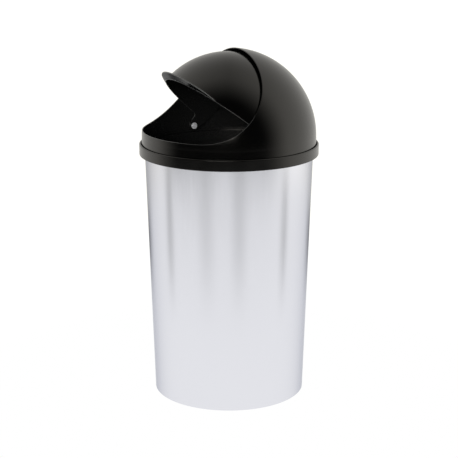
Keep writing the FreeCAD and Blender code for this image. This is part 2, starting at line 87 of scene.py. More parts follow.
# Base pan and feet
FOOT_STEM_RISE = 4.0 * MM
PAN_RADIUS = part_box("base_pan")[1].x
PAN_FLOOR_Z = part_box("foot_front_left")[1].z - FOOT_STEM_RISE
PAN_RIB_RADIUS = 100.0 * MM
PAN_RIB_WIDTH = 12.0 * MM
PAN_RIB_RISE = 2.5 * MM
FOOT_EDGE = 0.25 * MM
FOOT_STEM_RADIUS = 4.0 * MM
FOOT_BARB_REACH = 1.6 * MM
FOOT_TIP_RADIUS = 3.0 * MM
FOOT_CHAMFER = 1.5 * MM
FOOT_HOLE_RADIUS = 4.05 * MM

# Collar and bag hoop
COLLAR_SKIRT_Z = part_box("collar")[0].z
COLLAR_TOP_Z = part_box("collar")[1].z
COLLAR_FLOOR_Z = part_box("hood")[0].z
COLLAR_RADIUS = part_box("collar")[1].y
COLLAR_EDGE = 0.35 * MM
COLLAR_WEB = 2.8 * MM
COLLAR_SKIRT_WALL = 2.2 * MM
COLLAR_RIM_WALL = 3.0 * MM
COLLAR_RIM_ROUND = 2.0 * MM
COLLAR_LOWER_ROUND = 1.4 * MM
COLLAR_RIB_COUNT = 12
COLLAR_RIB_LENGTH = 3.35 * MM
COLLAR_RIB_THICKNESS = 2.0 * MM
COLLAR_RIB_RISE = 2.0 * MM
LOCATING_RISE = 6.4 * MM
LOCATING_TOP_Z = COLLAR_FLOOR_Z + LOCATING_RISE
LOCATING_WALL = 2.2 * MM
LOCATING_CLEARANCE = 0.6 * MM
LEDGE_WIDTH = 3.6 * MM
HOOP_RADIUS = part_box("bag_hoop")[1].y
HOOP_TOP_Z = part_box("bag_hoop")[1].z
HOOP_LOW_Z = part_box("bag_hoop")[0].z
HOOP_WALL = 2.0 * MM
HOOP_BAG_GAP = 1.8 * MM
HOOP_CLEARANCE = 0.6 * MM
HOOP_EDGE = 0.5 * MM

# Hood
LID_EDGE = 0.8 * MM
SMALL_EDGE = 0.4 * MM
HOOD_WALL = 2.0 * MM
HOOD_SKIRT_FLARE = 1.0 * MM
HOOD_SKIRT_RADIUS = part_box("hood")[1].x
HOOD_RADIUS = HOOD_SKIRT_RADIUS - HOOD_SKIRT_FLARE
PIVOT = Vector(next(joint["pos_m"] for joint in frame["joints"] if joint["name"] == "visor_pivot"))
PIVOT_DROP = 8.0 * MM
DOME_CENTRE = PIVOT + PIVOT_DROP * UP
MOUTH_LIP_RISE = 13.0 * MM
MOUTH_LIP_Z = DOME_CENTRE.z + MOUTH_LIP_RISE
MOUTH_CROWN_BACK = 21.07 * MM
MOUTH_LOWER_ARC = 129.0 * MM
MOUTH_LOWER_TURN = math.radians(39.8)
MOUTH_UPPER_ARC = 194.5 * MM
OUTSIDE_DOME = 400.0 * MM
BOSS_RADIUS = 8.0 * MM
STOP_WIDTH = 30.0 * MM
STOP_HEIGHT = 16.0 * MM
STOP_FRONT_Y = 164.7 * MM
STOP_RISE = 16.5 * MM
STOP_LOW_Z = PIVOT.z + STOP_RISE
SCREW_HOLE_RADIUS = 2.02 * MM
SCREW_HOLE_SKIN = 1.0 * MM

# Visor and its pull lip, drawn shut and then turned up to where it stands
VISOR_RADIUS = 167.6 * MM
VISOR_WALL = 2.2 * MM
VISOR_STANDS_OPEN = math.radians(39.6)
OPENING_TURN = Matrix.Rotation(-VISOR_STANDS_OPEN, 3, "X")
VISOR_SHUT_GAP = 1.0 * MM
SHUT_EDGE_Z = MOUTH_LIP_Z + VISOR_SHUT_GAP
SHUT_CENTRE = PIVOT + PIVOT_DROP * Vector((0, -math.sin(VISOR_STANDS_OPEN), math.cos(VISOR_STANDS_OPEN)))
VISOR_REAR_OVERLAP = 4.8 * MM
VISOR_REAR_LEAN = math.radians(3.4)
EAR_RADIUS = 11.5 * MM
EAR_FILLET = 7.0 * MM
EAR_FAN_RISE = 4.0 * MM
EAR_PAD_RADIUS = 9.0 * MM
EAR_PAD_LENGTH = 3.8 * MM
EAR_END_PLAY = 0.05 * MM
EAR_BORE_RADIUS = 4.08 * MM
LIP_THICKNESS = 2.2 * MM
LIP_REACH = 22.5 * MM
LIP_OUTER_ARC = 133.0 * MM
LIP_BEND_REACH = 8.0 * MM
LIP_BEND_ARC = 141.7 * MM
LIP_BEND_ROUND = 9.0 * MM
LIP_TURN_UP = math.radians(14.8)
LIP_RISE = 0.15 * MM
LIP_ROOT = 6.0 * MM
LIP_SPREAD = math.radians(67)
LIP_TAPERS_FROM = math.radians(44)
LIP_TAPERS_TO = math.radians(62)
LIP_TIP_SHARE = 0.3
LIP_CENTRE_Y = LIP_OUTER_ARC - VISOR_RADIUS - LIP_REACH
LIP_BEND_CENTRE_Y = LIP_BEND_ARC - VISOR_RADIUS - LIP_BEND_REACH
LIP_CENTRE = PIVOT + OPENING_TURN @ (Vector((0, LIP_CENTRE_Y, SHUT_EDGE_Z)) - PIVOT)
LIP_AXIS = OPENING_TURN @ UP

# Painted edge highlights: how deep under a wall's faces the pale painted highlight starts, and between which
# heights it shows
PAINTED_HIGHLIGHT_MARGIN = 0.1 * MM
PAINTED_HIGHLIGHT_FULL = 0.3 * MM
PAINTED_HIGHLIGHT_FADE = 10.0 * MM
WALL_HIGHLIGHT_RISE = 2.0 * MM
WALL_HIGHLIGHT_FULL_RISE = 6.0 * MM
HOOD_HIGHLIGHT_HEIGHT = 70.0 * MM
HOOD_HIGHLIGHT_TOP_Z = DOME_CENTRE.z + HOOD_HIGHLIGHT_HEIGHT
VISOR_HIGHLIGHT_TOP_Z = DOME_CENTRE.z + 2 * VISOR_RADIUS
LIP_HIGHLIGHT_HEIGHT = 60.0 * MM
LIP_HIGHLIGHT_LOW_Z = DOME_CENTRE.z + LIP_HIGHLIGHT_HEIGHT
LIP_HIGHLIGHT_BACK_Y = -40.0 * MM

# Pivots
PIVOT_EDGE = 0.12 * MM
BUSH_RADIUS = 4.0 * MM
SPRING_SHEET = 0.5 * MM
SPRING_CLEARANCE = 0.15 * MM
SPRING_EDGE = 0.08 * MM
SCREW_RADIUS = 2.0 * MM
SCREW_CLEARANCE = 0.1 * MM
SCREW_HEAD_RADIUS = 4.6 * MM
SCREW_HEAD_HEIGHT = 3.0 * MM
SCREW_HEAD_EDGE = 1.2 * MM
RECESS_LENGTH = 5.4 * MM
RECESS_WIDTH = 1.1 * MM
RECESS_DEPTH = 1.6 * MM

# How finely round things are drawn
TURN_STEPS = 160
SMALL_TURN_STEPS = 48
ARC_STEP = math.radians(2.5)
EDGE_STEP = math.radians(22.5)
EAR_FILLET_STEP = EDGE_STEP / 2
EAR_STEP = EDGE_STEP / 3
LEAST_ARC_STEPS = 4
RIM_STEPS = 150
RIB_ROWS = 32
VISOR_STEPS = 80
VISOR_COLUMNS = 40
FAN_ROWS = 5
LIP_ROWS = 90
LIP_STEPS = 24
FLOOR_STEPS = 128
EDGE_SEGMENTS = 3
FEW_SEGMENTS = 2
ROUND_PROFILE = 0.5
HALVINGS = 40
WELD_DISTANCE = 0.002 * MM
AREA_WEIGHT = 100

# Angles between faces above which an edge is rounded
SHALLOW = math.radians(20)
SHARP = math.radians(30)
SHARPER = math.radians(40)

# The camera stands to the right of the front and looks slightly down
CAMERA_AZIMUTH = math.radians(63.3)
CAMERA_DISTANCE = 2.6572
CAMERA_HEIGHT = 1.0448
CAMERA_PITCH = math.radians(14.95)
CAMERA_LENS = 105.86
CAMERA_SENSOR = 36

# The white floor, and the strip light behind the camera
FLOOR_RADIUS = 1.25
FLOOR_FADES_FROM = 0.5
MOUTH_LIGHT_WIDTH = 2.1
MOUTH_LIGHT_DEPTH = 0.5
MOUTH_LIGHT_POWER = 65
MOUTH_LIGHT_DISTANCE = 3.0
MOUTH_LIGHT_HEIGHT = 1.25

# Surroundings: bearings in degrees from the camera, heights and slopes as parts of a unit direction
BLACK = (0, 0, 0)
WHITE = (1, 1, 1)
WARM_WHITE = (1, 0.985, 0.94)
CAMERA_SEES = 1.1
HORIZON_HEIGHTS = (-0.27, -0.24)
FLOOR_BEYOND = 0.97
BEHIND_DARKER = 0.7
BEHIND_BEARINGS = (135, 165)
FAR_DARKER = 0.5
FAR_BEARINGS = (115, 150)
FAR_HEIGHTS = (-0.45, -0.38)
FRONT_DARKEST = 0.01
FRONT_SLOPES = (-0.15, 0.6)
FRONT_LEAN = 0.2
ROOM_LIGHT = 0.6
SIDE_LIGHT = 0.5
RIGHT_LIGHT = 0.12
GLOW_BEARING = -12
GLOW_STRENGTH = 4.5
GLOW_BEARINGS = (14, 22)
GLOW_LOW_HEIGHTS = (0.12, 0.17)
GLOW_HIGH_HEIGHTS = (0.3, 0.35)

# Darker gaps beyond the floor: bearing, half width, depth
DARK_BANDS = [(-92, 5, 0.4), (-32, 9, 0.16), (14, 8, 0.2), (84, 5, 0.38)]

# Shader values: where most of a noise lies, where a face turns inwards, and the colour mix's sockets
NOISE_SPAN = (0.3, 0.7)
INWARD_SPAN = (-0.6, -0.2)
MIX_FACTOR, MIX_LOW, MIX_HIGH, MIX_RESULT = 0, 6, 7, 2


class Field:
    """A shader socket. Python operators on it add the Math nodes."""

    def __init__(self, tree, socket=None):
        self.tree = tree
        self.socket = socket

    def node(self, kind, settings=None, inputs=None, output=0):
        """Adds a node, sets its settings, then fills its sockets with values or links."""
        made = self.tree.nodes.new(kind)
        for name, value in (settings or {}).items():
            setattr(made, name, value)
        for name, value in (inputs or {}).items():
            if isinstance(value, Field):
                self.tree.links.new(value.socket, made.inputs[name])
            else:
                made.inputs[name].default_value = value
        return Field(self.tree, made.outputs[output])

    def math(self, operation, *values):
        return self.node("ShaderNodeMath", {"operation": operation}, dict(enumerate(values)))

    def vector_math(self, operation, *values, output="Vector"):
        settings = {"operation": operation}
        return self.node("ShaderNodeVectorMath", settings, dict(enumerate(values)), output)

    def __add__(self, other):
        return self.math("ADD", self, other)

    def __radd__(self, other):
        return self.math("ADD", other, self)

    def __sub__(self, other):
        return self.math("SUBTRACT", self, other)

    def __rsub__(self, other):
        return self.math("SUBTRACT", other, self)

    def __mul__(self, other):
        return self.math("MULTIPLY", self, other)

    def __rmul__(self, other):
        return self.math("MULTIPLY", other, self)

    def __abs__(self):
        return self.math("ABSOLUTE", self)

    def ramp(self, low, high, from_low=0.0, from_high=1.0):
        """A smooth step from low to high as this value goes from from_low to from_high."""
        inputs = {"Value": self, "From Min": from_low, "From Max": from_high, "To Min": low, "To Max": high}
        return self.node("ShaderNodeMapRange", {"interpolation_type": "SMOOTHSTEP"}, inputs)

    def noise(self, vector, scale, detail=2.0, roughness=0.5):
        inputs = {"Vector": vector, "Scale": scale, "Detail": detail, "Roughness": roughness}
        return self.node("ShaderNodeTexNoise", {"noise_dimensions": "3D"}, inputs)

    def place(self):
        """The surface's place in the object's own coordinates."""
        return self.node("ShaderNodeTexCoord", output="Object")

    def part(self, axis):
        """This vector's part along an axis."""
        return self.node("ShaderNodeSeparateXYZ", None, {"Vector": self}, axis)

    def stretched(self, scale):
        """The surface's place, scaled by a different amount along each axis."""
        inputs = {"Vector": self.place(), "Scale": scale}
        return self.node("ShaderNodeMapping", {"vector_type": "POINT"}, inputs)

    def facing_in(self, centre):
        """1 where the surface looks towards a point, 0 where it looks away."""
        normal = self.node("ShaderNodeTexCoord", output="Normal")
        outward = self.vector_math("NORMALIZE", self.vector_math("SUBTRACT", self.place(), centre))
        facing = self.vector_math("DOT_PRODUCT", outward, normal, output="Value")
        return facing.ramp(1.0, 0.0, *INWARD_SPAN)

    def wall_highlight_mask(self, centre, radius, wall, top):
        """Mask for the painted edge highlight: 1 between the two faces of a dome's wall, from just above its
        centre up to a height.
        """
        place = self.place()
        height = place.part("Z")
        depth = self.vector_math("DISTANCE", place, centre, output="Value") - (radius - wall / 2)
        between = abs(depth).ramp(1.0, 0.0, wall / 2 - PAINTED_HIGHLIGHT_FULL, wall / 2 - PAINTED_HIGHLIGHT_MARGIN)
        above = height.ramp(0.0, 1.0, centre.z + WALL_HIGHLIGHT_RISE, centre.z + WALL_HIGHLIGHT_FULL_RISE)
        return between * above * height.ramp(1.0, 0.0, top - PAINTED_HIGHLIGHT_FADE, top)

    def lip_highlight_mask(self):
        """Mask for the lip's painted edge highlight, 1 on the pull lip's outer edge: far from its arc's
        axis, high up, outside the visor's dome.
        """
        place = self.place()
        reach = self.vector_math("DISTANCE", place, DOME_CENTRE, output="Value")
        offset = self.vector_math("SUBTRACT", place, LIP_CENTRE)
        across = self.vector_math("CROSS_PRODUCT", offset, LIP_AXIS)
        distance = self.vector_math("LENGTH", across, output="Value")
        edge = distance.ramp(0.0, 1.0, LIP_OUTER_ARC - LID_EDGE, LIP_OUTER_ARC - LID_EDGE / 2)
        outside = reach.ramp(0.0, 1.0, VISOR_RADIUS + SMALL_EDGE, VISOR_RADIUS + LID_EDGE)
        in_front = place.part("Y").ramp(1.0, 0.0, LIP_HIGHLIGHT_BACK_Y - PAINTED_HIGHLIGHT_FADE, LIP_HIGHLIGHT_BACK_Y)
        high_up = place.part("Z").ramp(0.0, 1.0, LIP_HIGHLIGHT_LOW_Z, LIP_HIGHLIGHT_LOW_Z + PAINTED_HIGHLIGHT_FADE)
        return edge * outside * in_front * high_up

    def mixed(self, low_colour, high_colour):
        """A colour between two, by this value."""
        inputs = {MIX_FACTOR: self, MIX_LOW: (*low_colour, 1), MIX_HIGH: (*high_colour, 1)}
        return self.node("ShaderNodeMix", {"data_type": "RGBA"}, inputs, MIX_RESULT)

    def bumped(self, strength, distance):
        inputs = {"Strength": strength, "Distance": distance, "Height": self}
        return self.node("ShaderNodeBump", None, inputs)


def surface(name, constants, varying):
    """A material with one Principled shader. varying turns a Field into socket names with Fields."""
    material = bpy.data.materials.new(name)
    material.use_nodes = True
    shader = material.node_tree.nodes["Principled BSDF"]
    for socket, value in constants.items():
        shader.inputs[socket].default_value = value
    for socket, field in varying(Field(material.node_tree)).items():
        material.node_tree.links.new(field.socket, shader.inputs[socket])
    return material


def brushed_steel():
    """Silver sheet with a fine grain that runs up the drum."""

    def varying(field):
        grain = field.noise(field.stretched((1, 1, 0.004)), scale=3200, detail=3.0, roughness=0.65)
        streaks = field.noise(field.stretched((1, 1, 0.012)), scale=420)
        clouds = field.noise(field.stretched((1, 1, 0.6)), scale=9)
        tone = 0.4 * grain + 0.3 * streaks + 0.3 * clouds
        return {
            "Base Color": tone.mixed((0.735, 0.74, 0.785), (0.785, 0.79, 0.83)),
            "Roughness": tone.ramp(0.13, 0.19, *NOISE_SPAN),
            "Normal": (grain + 0.4 * streaks).bumped(strength=0.012, distance=0.1 * MM),
        }

    constants = {"Metallic": 1.0, "Anisotropic": 0.5, "Specular Tint": (0.64, 0.65, 0.69, 1)}
    return surface("brushed_steel", constants, varying)


def satin_black():
    """Moulded black plastic: greyer and duller where it looks inwards, the grey being painted light on the
    inner faces, and a pale painted highlight along edges.
    """

    def varying(field):
        texture = field.noise(field.place(), scale=1900, roughness=0.6)
        clouds = field.noise(field.place(), scale=14, detail=3.0)
        inside = field.facing_in(DOME_CENTRE)
        # Pale painted highlight along the rims, standing in for light caught by their rounded edges.
        painted_highlight = field.wall_highlight_mask(DOME_CENTRE, HOOD_RADIUS, HOOD_WALL, HOOD_HIGHLIGHT_TOP_Z)
        painted_highlight = painted_highlight + field.wall_highlight_mask(DOME_CENTRE, VISOR_RADIUS, VISOR_WALL, VISOR_HIGHLIGHT_TOP_Z)
        painted_highlight = painted_highlight + field.lip_highlight_mask()
        # The greyer colour on inner faces is painted light; the clouds are the plastic's own random tone,
        # and the edges carry the painted highlight.
        painted_light_and_tone = 0.7 * painted_highlight + 0.05 * inside + 0.01 * clouds
        return {
            "Base Color": painted_light_and_tone.mixed((0.0004, 0.0004, 0.0004), (0.1, 0.102, 0.1)),
            "Roughness": 0.1 * inside + (0.75 * clouds + 0.25 * texture).ramp(0.14, 0.19, *NOISE_SPAN),
            "Normal": texture.bumped(strength=0.03, distance=0.1 * MM),
        }

    constants = {"Specular IOR Level": 0.5, "Specular Tint": (1, 0.97, 0.92, 1)}
    return surface("satin_black", constants, varying)


def bright_zinc():
    """Plated steel: pale, dull and slightly mottled."""

    def varying(field):
        mottle = field.noise(field.place(), scale=700, detail=3.0)
        return {
            "Base Color": mottle.mixed((0.62, 0.63, 0.65), (0.82, 0.82, 0.83)),
            "Roughness": mottle.ramp(0.3, 0.5, *NOISE_SPAN),
        }

    return surface("bright_zinc", {"Metallic": 0.5}, varying)


def foot_rubber():
    """Matt black rubber with a little dust on it."""

    def varying(field):
        dust = field.noise(field.place(), scale=420, detail=4.0, roughness=0.6)
        return {
            "Base Color": dust.mixed((0.012, 0.012, 0.012), (0.035, 0.034, 0.033)),
            "Roughness": dust.ramp(0.7, 0.9, *NOISE_SPAN),
            "Normal": dust.bumped(strength=0.1, distance=0.2 * MM),
        }

    return surface("foot_rubber", {"Specular IOR Level": 0.3}, varying)


def natural_nylon():
    """Undyed nylon, slightly cloudy."""

    def varying(field):
        clouds = field.noise(field.place(), scale=300, detail=3.0)
        return {
            "Base Color": clouds.mixed((0.70, 0.68, 0.62), (0.82, 0.80, 0.75)),
            "Roughness": clouds.ramp(0.4, 0.55, *NOISE_SPAN),
        }

    return surface("natural_nylon", {"Subsurface Weight": 0.1}, varying)


MATERIALS = {
    "brushed_steel": brushed_steel(),
    "black_plastic": satin_black(),
    "plated_steel": bright_zinc(),
    "foot_rubber": foot_rubber(),
    "white_nylon": natural_nylon(),
}


def radial(radius, height):
    return Vector((radius, 0, height))


def side_view(forward, height):
    return Vector((0, forward, height))


def on_circle(centre, radius, angle):
    return (centre[0] + radius * math.cos(angle), centre[1] + radius * math.sin(angle))


def arc(centre, radius, start, end, step_angle=ARC_STEP):
    """Points along an arc, both ends among them."""
    steps = max(LEAST_ARC_STEPS, math.ceil(abs(end - start) / step_angle))
    angles = [start + (end - start) * step / steps for step in range(steps + 1)]
    return [on_circle(centre, radius, angle) for angle in angles]


def outline_face(points):
    """A bmesh with one face, bounded by the given points."""
    mesh = bmesh.new()
    verts = [mesh.verts.new(point) for point in points]
    mesh.faces.new(verts)
    return mesh


def welded(mesh):
    """Merges what meets, and drops edges without a face."""
    bmesh.ops.remove_doubles(mesh, verts=mesh.verts, dist=WELD_DISTANCE)
    bmesh.ops.dissolve_degenerate(mesh, edges=mesh.edges, dist=WELD_DISTANCE)
    loose = [edge for edge in mesh.edges if not edge.link_faces]
    bmesh.ops.delete(mesh, geom=loose, context="EDGES")
    return mesh


def closed(mesh):
    """Merges what meets, and points every face outwards."""
    welded(mesh)
    bmesh.ops.recalc_face_normals(mesh, faces=mesh.faces)
    return mesh


def turned(profile, foot=ORIGIN, axis=UP, steps=TURN_STEPS):
    """A ring or solid of revolution: the closed profile spun once round the axis."""
    mesh = outline_face(profile)
    rim = mesh.edges[:]
    bmesh.ops.delete(mesh, geom=mesh.faces[:], context="FACES_ONLY")
    bmesh.ops.spin(mesh, geom=rim, cent=foot, axis=axis, angle=FULL_TURN, steps=steps, use_merge=True)
    return closed(mesh)


def skinned(sheets):
    """A closed mesh from sheets, each of them rows of points with faces between."""
    mesh = bmesh.new()
    for rows in sheets:
        verts = [[mesh.verts.new(point) for point in row] for row in rows]
        for row, after in zip(verts, verts[1:]):
            for left in range(len(row) - 1):
                mesh.faces.new((row[left], row[left + 1], after[left + 1], after[left]))
    return closed(mesh)


def block(low, high):
    mesh = bmesh.new()
    middle = (Vector(low) + Vector(high)) / 2
    size = Vector(high) - Vector(low)
    bmesh.ops.create_cube(mesh, size=1, matrix=Matrix.Translation(middle) @ Matrix.Diagonal((*size, 1)))
    return mesh


def pivot_rod(side, radius, from_x, to_x, steps=SMALL_TURN_STEPS):
    """A solid cylinder on the pivot axis."""
    profile = [(from_x, 0), (from_x, radius), (to_x, radius), (to_x, 0)]
    return pivot_turned(side, profile, steps)


def pivot_turned(side, profile, steps=SMALL_TURN_STEPS):
    """A solid of revolution about the pivot axis, from distances along it and radii."""
    points = [PIVOT + side * along * SIDEWAYS + radius * UP for along, radius in profile]
    return turned(points, PIVOT, SIDEWAYS, steps)


def joined(meshes):
    """One bmesh that holds several."""
    whole = bmesh.new()
    for mesh in meshes:
        part = as_mesh("part", mesh)
        whole.from_mesh(part)
        bpy.data.meshes.remove(part)
    return whole


def as_mesh(name, mesh):
    data = bpy.data.meshes.new(name)
    mesh.to_mesh(data)
    mesh.free()
    return data


def combined(mesh, operation, tool):
    """Cuts away, keeps or adds the space of another closed mesh."""
    scene = bpy.context.scene.collection.objects
    bodies = [bpy.data.objects.new("work", as_mesh("work", part)) for part in (mesh, tool)]
    for body in bodies:
        scene.link(body)
    change = bodies[0].modifiers.new("combine", "BOOLEAN")
    change.operation = operation
    change.solver = "EXACT"
    change.object = bodies[1]
    bpy.context.view_layer.update()
    evaluated = bodies[0].evaluated_get(bpy.context.evaluated_depsgraph_get())
    result = bmesh.new()
    result.from_mesh(evaluated.to_mesh())
    evaluated.to_mesh_clear()
    for body in bodies:
        data = body.data
        bpy.data.objects.remove(body)
        bpy.data.meshes.remove(data)
    return welded(result)


def softened(mesh, width, sharper_than=SHARP, segments=EDGE_SEGMENTS):
    """Rounds every edge that is sharper than the given angle."""
    sharp = [edge for edge in mesh.edges if edge.is_manifold and edge.calc_face_angle(0) > sharper_than]
    bmesh.ops.bevel(mesh, geom=sharp, offset=width, offset_type="OFFSET", segments=segments,
                    profile=ROUND_PROFILE, affect="EDGES", material=-1, clamp_overlap=True)
    return mesh


def piece(name, mesh, body, slot, nodes):
    """Puts a finished mesh in the scene in place of CAD nodes."""
    for face in mesh.faces:
        face.smooth = True
    thing = bpy.data.objects.new(name, as_mesh(name, mesh))
    bpy.context.scene.collection.objects.link(thing)
    thing.data.materials.append(MATERIALS[slot])
    shading = thing.modifiers.new("even shading", "WEIGHTED_NORMAL")
    shading.weight = AREA_WEIGHT
    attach(thing, body)
    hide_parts(*nodes)
    return thing


def drum_radius_at(height):
    share = (height - DRUM_FOOT_Z) / (BEAD_CENTRE_Z - DRUM_FOOT_Z)
    return DRUM_BASE_RADIUS + share * (DRUM_TOP_RADIUS - DRUM_BASE_RADIUS)


def make_drum():
    bead = (BEAD_CENTRE_RADIUS, BEAD_CENTRE_Z)
    hem_inner = DRUM_BASE_RADIUS - HEM_WIDTH
    hem_top = DRUM_FOOT_Z + SHEET
    profile = [(hem_inner, DRUM_FOOT_Z), (DRUM_BASE_RADIUS, DRUM_FOOT_Z)]
    profile += arc(bead, BEAD_RADIUS - SHEET, HALF_TURN, -QUARTER_TURN)
    profile += arc(bead, BEAD_RADIUS, -QUARTER_TURN, HALF_TURN)
    profile += [(drum_radius_at(hem_top) - SHEET, hem_top), (hem_inner, hem_top)]
    wall = softened(turned([radial(*point) for point in profile]), SHEET_EDGE, SHARPER, FEW_SEGMENTS)
    return combined(wall, "UNION", softened(seam_strip(), SHEET_EDGE, segments=FEW_SEGMENTS))


def seam_strip():
    """The inner layer of the lap seam, up the middle of the back, sunk into the wall to join it."""
    low = PAN_FLOOR_Z + 2 * SHEET
    half = SEAM_LAP / 2
    inside = drum_radius_at(low) - 2 * SHEET
    strip = block((-half, inside, low), (half, inside + SHEET + SEAM_SINK, BEAD_CENTRE_Z))
    lean = (drum_radius_at(BEAD_CENTRE_Z) - drum_radius_at(low)) / (BEAD_CENTRE_Z - low)
    for vert in strip.verts:
        vert.co.y += lean * (vert.co.z - low)
    return strip


def make_base_pan():
    half_rib = PAN_RIB_WIDTH / 2
    half_top = half_rib / 2
    flange_inner = PAN_RADIUS - SHEET
    under = [(0, 0), (PAN_RIB_RADIUS - half_rib, 0), (PAN_RIB_RADIUS - half_top, PAN_RIB_RISE)]
    under += [(PAN_RIB_RADIUS + half_top, PAN_RIB_RISE), (PAN_RIB_RADIUS + half_rib, 0)]
    under += [(flange_inner, 0)]
    over = [(radius, rise + SHEET) for radius, rise in reversed(under[:-1])]
    drop = DRUM_FOOT_Z + SHEET - PAN_FLOOR_Z
    profile = under + [(flange_inner, drop), (PAN_RADIUS, drop), (PAN_RADIUS, SHEET)] + over
    pan = turned([radial(radius, PAN_FLOOR_Z + rise) for radius, rise in profile])
    pan = softened(pan, SHEET_EDGE, SHALLOW, FEW_SEGMENTS)
    return combined(pan, "DIFFERENCE", joined([foot_hole(corner) for corner in CORNERS]))


def foot_hole(corner):
    """The round space that a foot's stem takes up in the pan."""
    axis_foot = foot_axis(corner)
    low = PAN_FLOOR_Z - SHEET
    high = PAN_FLOOR_Z + 2 * SHEET
    profile = [(0, low), (FOOT_HOLE_RADIUS, low), (FOOT_HOLE_RADIUS, high), (0, high)]
    return turned([axis_foot + radial(*point) for point in profile], axis_foot, UP, SMALL_TURN_STEPS)


def foot_axis(corner):
    low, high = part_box("foot_" + corner)
    return Vector(((low.x + high.x) / 2, (low.y + high.y) / 2, 0))


def make_foot(corner):
    low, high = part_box("foot_" + corner)
    radius = (high.x - low.x) / 2
    catch = PAN_FLOOR_Z + SHEET
    profile = [(0, 0), (radius - FOOT_CHAMFER, 0), (radius, FOOT_CHAMFER), (radius, PAN_FLOOR_Z)]
    profile += [(FOOT_STEM_RADIUS, PAN_FLOOR_Z), (FOOT_STEM_RADIUS, catch)]
    profile += [(FOOT_STEM_RADIUS + FOOT_BARB_REACH, catch), (FOOT_TIP_RADIUS, high.z), (0, high.z)]
    axis_foot = foot_axis(corner)
    foot = turned([axis_foot + radial(*point) for point in profile], axis_foot, UP, SMALL_TURN_STEPS)
    return softened(foot, FOOT_EDGE, segments=FEW_SEGMENTS)


def make_collar():
    skirt_inner = COLLAR_RADIUS - COLLAR_SKIRT_WALL
    rim_inner = COLLAR_RADIUS - COLLAR_RIM_WALL
    locating_outer = HOOD_SKIRT_RADIUS - HOOD_WALL - LOCATING_CLEARANCE
    locating_inner = locating_outer - LOCATING_WALL
    ledge_inner = locating_inner - LEDGE_WIDTH
    web_under = COLLAR_FLOOR_Z - COLLAR_WEB
    low_centre = (COLLAR_RADIUS - COLLAR_LOWER_ROUND, COLLAR_SKIRT_Z + COLLAR_LOWER_ROUND)
    top_centre = (COLLAR_RADIUS - COLLAR_RIM_ROUND, COLLAR_TOP_Z - COLLAR_RIM_ROUND)
    profile = [(skirt_inner, COLLAR_SKIRT_Z)]
    profile += arc(low_centre, COLLAR_LOWER_ROUND, -QUARTER_TURN, 0)
    profile += arc(top_centre, COLLAR_RIM_ROUND, 0, QUARTER_TURN)
    profile += [(rim_inner, COLLAR_TOP_Z), (rim_inner, COLLAR_FLOOR_Z)]
    profile += [(locating_outer, COLLAR_FLOOR_Z), (locating_outer, LOCATING_TOP_Z)]
    profile += [(locating_inner, LOCATING_TOP_Z), (locating_inner, COLLAR_FLOOR_Z)]
    profile += [(ledge_inner, COLLAR_FLOOR_Z), (ledge_inner, web_under), (skirt_inner, web_under)]
    ring = softened(turned([radial(*point) for point in profile]), COLLAR_EDGE, SHARPER, FEW_SEGMENTS)
    return combined(ring, "UNION", centring_ribs(skirt_inner, web_under))


def centring_ribs(skirt_inner, web_under):
    """Ribs inside the skirt that centre the collar on the drum's bead."""
    ribs = []
    low = COLLAR_SKIRT_Z + COLLAR_RIB_RISE
    half = COLLAR_RIB_THICKNESS / 2
    outer = skirt_inner + COLLAR_SKIRT_WALL / 2
    inner = skirt_inner - COLLAR_RIB_LENGTH
    for number in range(COLLAR_RIB_COUNT):
        rib = block((inner, -half, low), (outer, half, web_under + COLLAR_WEB / 2))
        for vert in rib.verts:
            if vert.co.x < skirt_inner and vert.co.z < web_under:
                vert.co.z += COLLAR_RIB_LENGTH
        turn = Matrix.Rotation(FULL_TURN * (number + 0.5) / COLLAR_RIB_COUNT, 4, "Z")
        bmesh.ops.transform(rib, matrix=turn, verts=rib.verts)
        ribs.append(softened(rib, COLLAR_EDGE, segments=FEW_SEGMENTS))
    return joined(ribs)


def make_bag_hoop():
    flange_inner = HOOP_RADIUS - LEDGE_WIDTH + HOOP_CLEARANCE - HOOP_BAG_GAP - HOOP_WALL
    outer = flange_inner + HOOP_WALL
    narrowing = drum_radius_at(COLLAR_FLOOR_Z) - drum_radius_at(HOOP_LOW_Z)
    profile = [(flange_inner - narrowing, HOOP_LOW_Z), (outer - narrowing, HOOP_LOW_Z)]
    profile += [(outer, COLLAR_FLOOR_Z), (HOOP_RADIUS, COLLAR_FLOOR_Z)]
    profile += [(HOOP_RADIUS, HOOP_TOP_Z), (flange_inner, HOOP_TOP_Z)]
    return softened(turned([radial(*point) for point in profile]), HOOP_EDGE)


def dome_profile(inset, low):
    """Half of the hood's section, from its foot up to the crown."""
    centre = (0, DOME_CENTRE.z)
    return [(HOOD_SKIRT_RADIUS - inset, low)] + arc(centre, HOOD_RADIUS - inset, 0, QUARTER_TURN)


def mouth_outline():
    """The space in front of the mouth's edge, from the side."""
    forward = math.sin(MOUTH_LOWER_TURN) * (MOUTH_LOWER_ARC - MOUTH_UPPER_ARC)
    lower = (MOUTH_CROWN_BACK - MOUTH_UPPER_ARC - forward, MOUTH_LIP_Z + MOUTH_LOWER_ARC)
    meeting = on_circle(lower, MOUTH_LOWER_ARC, MOUTH_LOWER_TURN - QUARTER_TURN)
    upper = on_circle(meeting, MOUTH_UPPER_ARC, MOUTH_LOWER_TURN + QUARTER_TURN)
    points = [(-OUTSIDE_DOME, MOUTH_LIP_Z)]
    points += arc(lower, MOUTH_LOWER_ARC, -QUARTER_TURN, MOUTH_LOWER_TURN - QUARTER_TURN)
    points += arc(upper, MOUTH_UPPER_ARC, MOUTH_LOWER_TURN - QUARTER_TURN, 0)[1:]
    top = DOME_CENTRE.z + OUTSIDE_DOME
    points += [(MOUTH_CROWN_BACK, top), (-OUTSIDE_DOME, top)]
    return [side_view(*point) for point in points]


